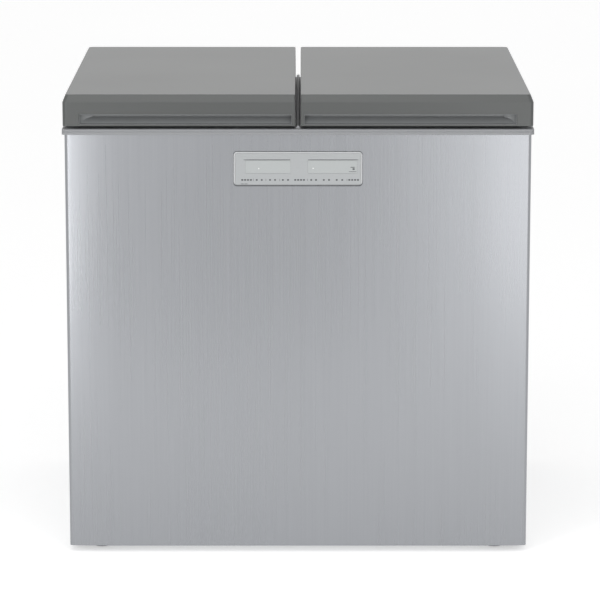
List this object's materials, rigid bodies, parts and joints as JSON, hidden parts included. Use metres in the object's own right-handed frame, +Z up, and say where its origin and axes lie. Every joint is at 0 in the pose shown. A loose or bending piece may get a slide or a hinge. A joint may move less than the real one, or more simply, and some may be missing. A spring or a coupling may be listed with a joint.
{
  "type": "kimchi refrigerator",
  "caption": "Chest kimchi refrigerator with a brushed steel cabinet, lids on sprung hinges, stepped tubs and lidded storage boxes.",
  "frame": {"origin": "centre of the footprint on the floor", "axes": "+Z up, -Y towards the front, +X to the right seen from the front"},
  "size_m": [0.93, 0.776, 0.93],
  "materials": {
    "brushed_steel_front": "fine vertical brushing, clear coated",
    "painted_steel": "satin grey paint",
    "galvanised_steel": "zinc coated sheet",
    "collar_plastic": "satin grey moulding",
    "tub_aluminium": "embossed satin sheet",
    "copper_pipe": "drawn copper",
    "insulation_foam": "foamed in place",
    "grey_plastic": "moulded, light texture",
    "black_plastic": "moulded, light texture",
    "silver_plastic": "silver paint on plastic",
    "fascia_film": "satin printed film",
    "display_window": "smooth tinted lens",
    "black_enamel": "black baked enamel",
    "zinc_steel": "bright zinc plate",
    "spring_steel": "oiled drawn steel",
    "black_rubber": "matte",
    "gasket_rubber": "soft matte vinyl",
    "lid_paint": "satin silver grey",
    "liner_plastic": "smooth white",
    "box_plastic": "smooth translucent",
    "box_lid_plastic": "smooth grey green"
  },
  "bodies": {
    "cabinet": {"front_panel": "brushed_steel_front", "side_panel_left": "painted_steel", "side_panel_right": "painted_steel", "rear_panel": "galvanised_steel", "top_frame": "collar_plastic", "tub_left": "tub_aluminium", "tub_right": "tub_aluminium", "evaporator_left": "copper_pipe", "evaporator_right": "copper_pipe", "cabinet_foam": "insulation_foam", "base_pan": "galvanised_steel", "machine_cover": "grey_plastic", "cord_gland": "black_plastic", "condenser": "copper_pipe", "filter_drier": "copper_pipe", "suction_line": "copper_pipe", "control_box": "black_plastic", "control_bezel": "silver_plastic", "control_fascia": "fascia_film", "display_window_left": "display_window", "display_window_right": "display_window", "compressor": "black_enamel", "fan_shroud": "black_plastic", "roller_fork_left": "zinc_steel", "roller_fork_right": "zinc_steel", "hinge_bracket_left_inner": "zinc_steel", "hinge_pin_left_inner": "spring_steel", "hinge_bracket_left_outer": "zinc_steel", "hinge_pin_left_outer": "spring_steel", "hinge_spring_left": "spring_steel", "hinge_bracket_right_inner": "zinc_steel", "hinge_pin_right_inner": "spring_steel", "hinge_bracket_right_outer": "zinc_steel", "hinge_pin_right_outer": "spring_steel", "hinge_spring_right": "spring_steel"},
    "lid_left": {"lid_cover_left": "lid_paint", "lid_liner_left": "liner_plastic", "lid_foam_left": "insulation_foam", "lid_gasket_left": "gasket_rubber", "hinge_leaf_left_inner": "zinc_steel", "hinge_leaf_left_outer": "zinc_steel"},
    "lid_right": {"lid_cover_right": "lid_paint", "lid_liner_right": "liner_plastic", "lid_foam_right": "insulation_foam", "lid_gasket_right": "gasket_rubber", "hinge_leaf_right_inner": "zinc_steel", "hinge_leaf_right_outer": "zinc_steel"},
    "box_front_left": {"box_front_left": "box_plastic"},
    "box_lid_front_left": {"box_lid_front_left": "box_lid_plastic"},
    "box_front_right": {"box_front_right": "box_plastic"},
    "box_lid_front_right": {"box_lid_front_right": "box_lid_plastic"},
    "box_rear_left": {"box_rear_left": "box_plastic"},
    "box_lid_rear_left": {"box_lid_rear_left": "box_lid_plastic"},
    "box_rear_right": {"box_rear_right": "box_plastic"},
    "box_lid_rear_right": {"box_lid_rear_right": "box_lid_plastic"},
    "fan": {"fan_rotor": "grey_plastic"},
    "roller_left": {"roller_wheel_left": "black_rubber"},
    "roller_right": {"roller_wheel_right": "black_rubber"},
    "foot_left": {"front_foot_left": "black_plastic"},
    "foot_right": {"front_foot_right": "black_plastic"}
  },
  "joints": [
    {"name": "lid_left_hinge", "type": "hinge", "parent": "cabinet", "child": "lid_left", "pos_m": [-0.23425, 0.354, 0.886], "axis": [-1, 0, 0], "range_deg": [0, 85], "stiffness_Nm_per_rad": 3, "springref_deg": 137.51},
    {"name": "lid_right_hinge", "type": "hinge", "parent": "cabinet", "child": "lid_right", "pos_m": [0.23425, 0.354, 0.886], "axis": [-1, 0, 0], "range_deg": [0, 85], "stiffness_Nm_per_rad": 3, "springref_deg": 137.51},
    {"name": "box_front_left_lift", "type": "slide", "parent": "cabinet", "child": "box_front_left", "axis": [0, 0, 1], "range_m": [0, 0.28]},
    {"name": "box_lid_front_left_lift", "type": "slide", "parent": "box_front_left", "child": "box_lid_front_left", "axis": [0, 0, 1], "range_m": [0, 0.12]},
    {"name": "box_front_right_lift", "type": "slide", "parent": "cabinet", "child": "box_front_right", "axis": [0, 0, 1], "range_m": [0, 0.28]},
    {"name": "box_lid_front_right_lift", "type": "slide", "parent": "box_front_right", "child": "box_lid_front_right", "axis": [0, 0, 1], "range_m": [0, 0.12]},
    {"name": "box_rear_left_lift", "type": "slide", "parent": "cabinet", "child": "box_rear_left", "axis": [0, 0, 1], "range_m": [0, 0.15]},
    {"name": "box_lid_rear_left_lift", "type": "slide", "parent": "box_rear_left", "child": "box_lid_rear_left", "axis": [0, 0, 1], "range_m": [0, 0.08]},
    {"name": "box_rear_right_lift", "type": "slide", "parent": "cabinet", "child": "box_rear_right", "axis": [0, 0, 1], "range_m": [0, 0.15]},
    {"name": "box_lid_rear_right_lift", "type": "slide", "parent": "box_rear_right", "child": "box_lid_rear_right", "axis": [0, 0, 1], "range_m": [0, 0.08]},
    {"name": "fan_spin", "type": "hinge", "parent": "cabinet", "child": "fan", "pos_m": [0.0415, 0.218, 0.127], "axis": [1, 0, 0], "continuous": true},
    {"name": "roller_left_roll", "type": "hinge", "parent": "cabinet", "child": "roller_left", "pos_m": [-0.398, 0.337, 0.0185], "axis": [1, 0, 0], "continuous": true},
    {"name": "roller_right_roll", "type": "hinge", "parent": "cabinet", "child": "roller_right", "pos_m": [0.398, 0.337, 0.0185], "axis": [1, 0, 0], "continuous": true},
    {"name": "foot_left_turn", "type": "hinge", "parent": "cabinet", "child": "foot_left", "pos_m": [-0.398, -0.321, 0.012], "axis": [0, 0, 1], "continuous": true},
    {"name": "foot_right_turn", "type": "hinge", "parent": "cabinet", "child": "foot_right", "pos_m": [0.398, -0.321, 0.012], "axis": [0, 0, 1], "continuous": true}
  ]
}
